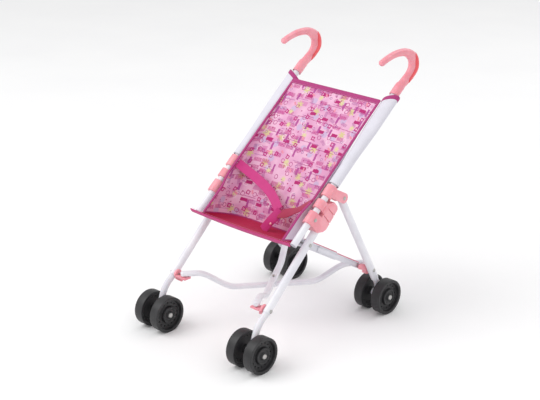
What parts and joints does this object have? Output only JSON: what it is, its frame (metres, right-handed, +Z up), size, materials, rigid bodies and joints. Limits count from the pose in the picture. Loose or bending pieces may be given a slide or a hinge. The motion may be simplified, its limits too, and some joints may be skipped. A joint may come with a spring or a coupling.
{
  "type": "doll stroller",
  "caption": "Folding toy stroller with cane handles, a sling seat, an X brace between two side frames, and paired wheels at each foot.",
  "frame": {"origin": "on the floor under the middle of the whole stroller, halfway between its front and back and its two side frames", "axes": "+X is the stroller's width, towards the side frame on the right of a person who faces it from the front looking along +Y; +Y is rearward, towards the handles; +Z is up"},
  "size_m": [0.3354, 0.5147, 0.5501],
  "materials": {
    "white_paint": "satin powder coat",
    "white_plastic": "smooth moulded",
    "pink_plastic": "semi-gloss moulded",
    "coral_insert": "smooth moulded",
    "black_plastic": "moulded, slightly worn tread",
    "zinc_steel": "zinc plated",
    "seat_fabric": "printed woven polyester",
    "sleeve_fabric": "woven polyester",
    "webbing": "ribbed webbing"
  },
  "bodies": {
    "left_frame": {"handle_tube_left": "white_paint", "handle_grip_left": "pink_plastic", "handle_grip_pad_left": "coral_insert", "handle_screw_left": "zinc_steel", "upper_bracket_left": "pink_plastic", "rear_leg_pivot_bolt_left": "zinc_steel", "lower_bracket_left": "pink_plastic", "lower_bracket_bolt_left": "zinc_steel", "front_leg_left": "white_paint", "front_foot_left": "white_plastic", "front_axle_left": "zinc_steel", "front_clip_bolt_left": "zinc_steel", "link_bolt_left": "zinc_steel", "seat_sleeve_left": "sleeve_fabric", "seat_sling": "seat_fabric", "crotch_strap": "webbing", "waist_strap_left": "webbing", "waist_strap_right": "webbing"},
    "left_front_clip": {"front_clip_left": "pink_plastic"},
    "lower_x_bar": {"x_bar_lower": "white_paint", "x_bar_centre_bolt": "zinc_steel"},
    "upper_x_bar": {"x_bar_upper": "white_paint"},
    "right_front_clip": {"front_clip_right": "pink_plastic"},
    "right_frame": {"handle_tube_right": "white_paint", "handle_grip_right": "pink_plastic", "handle_grip_pad_right": "coral_insert", "handle_screw_right": "zinc_steel", "upper_bracket_right": "pink_plastic", "rear_leg_pivot_bolt_right": "zinc_steel", "lower_bracket_right": "pink_plastic", "lower_bracket_bolt_right": "zinc_steel", "front_leg_right": "white_paint", "front_foot_right": "white_plastic", "front_axle_right": "zinc_steel", "front_clip_bolt_right": "zinc_steel", "link_bolt_right": "zinc_steel", "seat_sleeve_right": "sleeve_fabric"},
    "left_rear_leg": {"rear_leg_left": "white_paint", "rear_foot_left": "white_plastic", "rear_axle_left": "zinc_steel", "rear_clip_bolt_left": "zinc_steel"},
    "left_rear_clip": {"rear_clip_left": "pink_plastic"},
    "left_link_outer": {"link_outer_left": "white_paint"},
    "left_link_inner": {"link_inner_left": "white_paint"},
    "front_wheel_outer_left_body": {"front_wheel_outer_left": "black_plastic"},
    "front_wheel_inner_left_body": {"front_wheel_inner_left": "black_plastic"},
    "rear_wheel_outer_left_body": {"rear_wheel_outer_left": "black_plastic"},
    "rear_wheel_inner_left_body": {"rear_wheel_inner_left": "black_plastic"},
    "right_rear_leg": {"rear_leg_right": "white_paint", "rear_foot_right": "white_plastic", "rear_axle_right": "zinc_steel", "rear_clip_bolt_right": "zinc_steel"},
    "right_rear_clip": {"rear_clip_right": "pink_plastic"},
    "right_link_outer": {"link_outer_right": "white_paint"},
    "right_link_inner": {"link_inner_right": "white_paint"},
    "front_wheel_outer_right_body": {"front_wheel_outer_right": "black_plastic"},
    "front_wheel_inner_right_body": {"front_wheel_inner_right": "black_plastic"},
    "rear_wheel_outer_right_body": {"rear_wheel_outer_right": "black_plastic"},
    "rear_wheel_inner_right_body": {"rear_wheel_inner_right": "black_plastic"}
  },
  "joints": [
    {"name": "front_clip_tilt_left", "type": "hinge", "parent": "left_frame", "child": "left_front_clip", "pos_m": [-0.132, -0.17564, 0.10712], "axis": [1, 0, 0], "range_deg": [0, 7.39]},
    {"name": "fold", "type": "hinge", "parent": "left_front_clip", "child": "lower_x_bar", "pos_m": [-0.102, -0.17564, 0.10712], "axis": [0, 0, 1], "range_deg": [0, 28.3], "deforming": ["seat_sling", "crotch_strap", "waist_strap_left", "waist_strap_right"]},
    {"name": "x_bar_crossing", "type": "hinge", "parent": "lower_x_bar", "child": "upper_x_bar", "pos_m": [0, -0.02232, 0.10246], "axis": [0, 0, 1], "range_deg": [-56.65, 0]},
    {"name": "right_clip_swivel", "type": "hinge", "parent": "upper_x_bar", "child": "right_front_clip", "pos_m": [0.102, -0.17564, 0.10712], "axis": [0, 0, 1], "range_deg": [0, 28.35]},
    {"name": "front_clip_tilt_right", "type": "hinge", "parent": "right_front_clip", "child": "right_frame", "pos_m": [0.132, -0.17564, 0.10712], "axis": [1, 0, 0], "range_deg": [-7.39, 0]},
    {"name": "rear_leg_swing_left", "type": "hinge", "parent": "left_frame", "child": "left_rear_leg", "pos_m": [-0.132, 0.02918, 0.28363], "axis": [1, 0, 0], "range_deg": [0, 20.37]},
    {"name": "rear_clip_tilt_left", "type": "hinge", "parent": "left_rear_leg", "child": "left_rear_clip", "pos_m": [-0.132, 0.13101, 0.0978], "axis": [1, 0, 0], "range_deg": [-13.03, 0]},
    {"name": "link_swing_left", "type": "hinge", "parent": "left_frame", "child": "left_link_outer", "pos_m": [-0.132, -0.06587, 0.21081], "axis": [1, 0, 0], "range_deg": [0, 16.38]},
    {"name": "link_slide_left", "type": "slide", "parent": "left_link_outer", "child": "left_link_inner", "axis": [0, 0.8612, -0.5082], "range_m": [0, 0.03649]},
    {"name": "front_wheel_outer_left_spin", "type": "hinge", "parent": "left_frame", "child": "front_wheel_outer_left_body", "pos_m": [-0.132, -0.22, 0.037], "axis": [1, 0, 0], "continuous": true},
    {"name": "front_wheel_inner_left_spin", "type": "hinge", "parent": "left_frame", "child": "front_wheel_inner_left_body", "pos_m": [-0.132, -0.22, 0.037], "axis": [1, 0, 0], "continuous": true},
    {"name": "rear_wheel_outer_left_spin", "type": "hinge", "parent": "left_rear_leg", "child": "rear_wheel_outer_left_body", "pos_m": [-0.132, 0.154, 0.037], "axis": [1, 0, 0], "continuous": true},
    {"name": "rear_wheel_inner_left_spin", "type": "hinge", "parent": "left_rear_leg", "child": "rear_wheel_inner_left_body", "pos_m": [-0.132, 0.154, 0.037], "axis": [1, 0, 0], "continuous": true},
    {"name": "rear_leg_swing_right", "type": "hinge", "parent": "right_frame", "child": "right_rear_leg", "pos_m": [0.132, 0.02918, 0.28363], "axis": [1, 0, 0], "range_deg": [0, 20.37]},
    {"name": "rear_clip_tilt_right", "type": "hinge", "parent": "right_rear_leg", "child": "right_rear_clip", "pos_m": [0.132, 0.13101, 0.0978], "axis": [1, 0, 0], "range_deg": [-13.03, 0]},
    {"name": "link_swing_right", "type": "hinge", "parent": "right_frame", "child": "right_link_outer", "pos_m": [0.132, -0.06587, 0.21081], "axis": [1, 0, 0], "range_deg": [0, 16.38]},
    {"name": "link_slide_right", "type": "slide", "parent": "right_link_outer", "child": "right_link_inner", "axis": [0, 0.8612, -0.5082], "range_m": [0, 0.03649]},
    {"name": "front_wheel_outer_right_spin", "type": "hinge", "parent": "right_frame", "child": "front_wheel_outer_right_body", "pos_m": [0.132, -0.22, 0.037], "axis": [1, 0, 0], "continuous": true},
    {"name": "front_wheel_inner_right_spin", "type": "hinge", "parent": "right_frame", "child": "front_wheel_inner_right_body", "pos_m": [0.132, -0.22, 0.037], "axis": [1, 0, 0], "continuous": true},
    {"name": "rear_wheel_outer_right_spin", "type": "hinge", "parent": "right_rear_leg", "child": "rear_wheel_outer_right_body", "pos_m": [0.132, 0.154, 0.037], "axis": [1, 0, 0], "continuous": true},
    {"name": "rear_wheel_inner_right_spin", "type": "hinge", "parent": "right_rear_leg", "child": "rear_wheel_inner_right_body", "pos_m": [0.132, 0.154, 0.037], "axis": [1, 0, 0], "continuous": true}
  ],
  "couplings": [
    {"joint": "front_clip_tilt_left", "follows": "fold", "ratio": 0.25945},
    {"joint": "x_bar_crossing", "follows": "fold", "ratio": -2},
    {"joint": "right_clip_swivel", "follows": "fold", "ratio": 1},
    {"joint": "front_clip_tilt_right", "follows": "fold", "ratio": -0.25945},
    {"joint": "rear_leg_swing_left", "follows": "fold", "ratio": 0.71807},
    {"joint": "rear_clip_tilt_left", "follows": "fold", "ratio": -0.45863},
    {"joint": "link_swing_left", "follows": "fold", "ratio": 0.57688},
    {"joint": "link_slide_left", "follows": "fold", "m_per_rad": 0.073683},
    {"joint": "rear_leg_swing_right", "follows": "fold", "ratio": 0.71807},
    {"joint": "rear_clip_tilt_right", "follows": "fold", "ratio": -0.45863},
    {"joint": "link_swing_right", "follows": "fold", "ratio": 0.57688},
    {"joint": "link_slide_right", "follows": "fold", "m_per_rad": 0.073683}
  ]
}
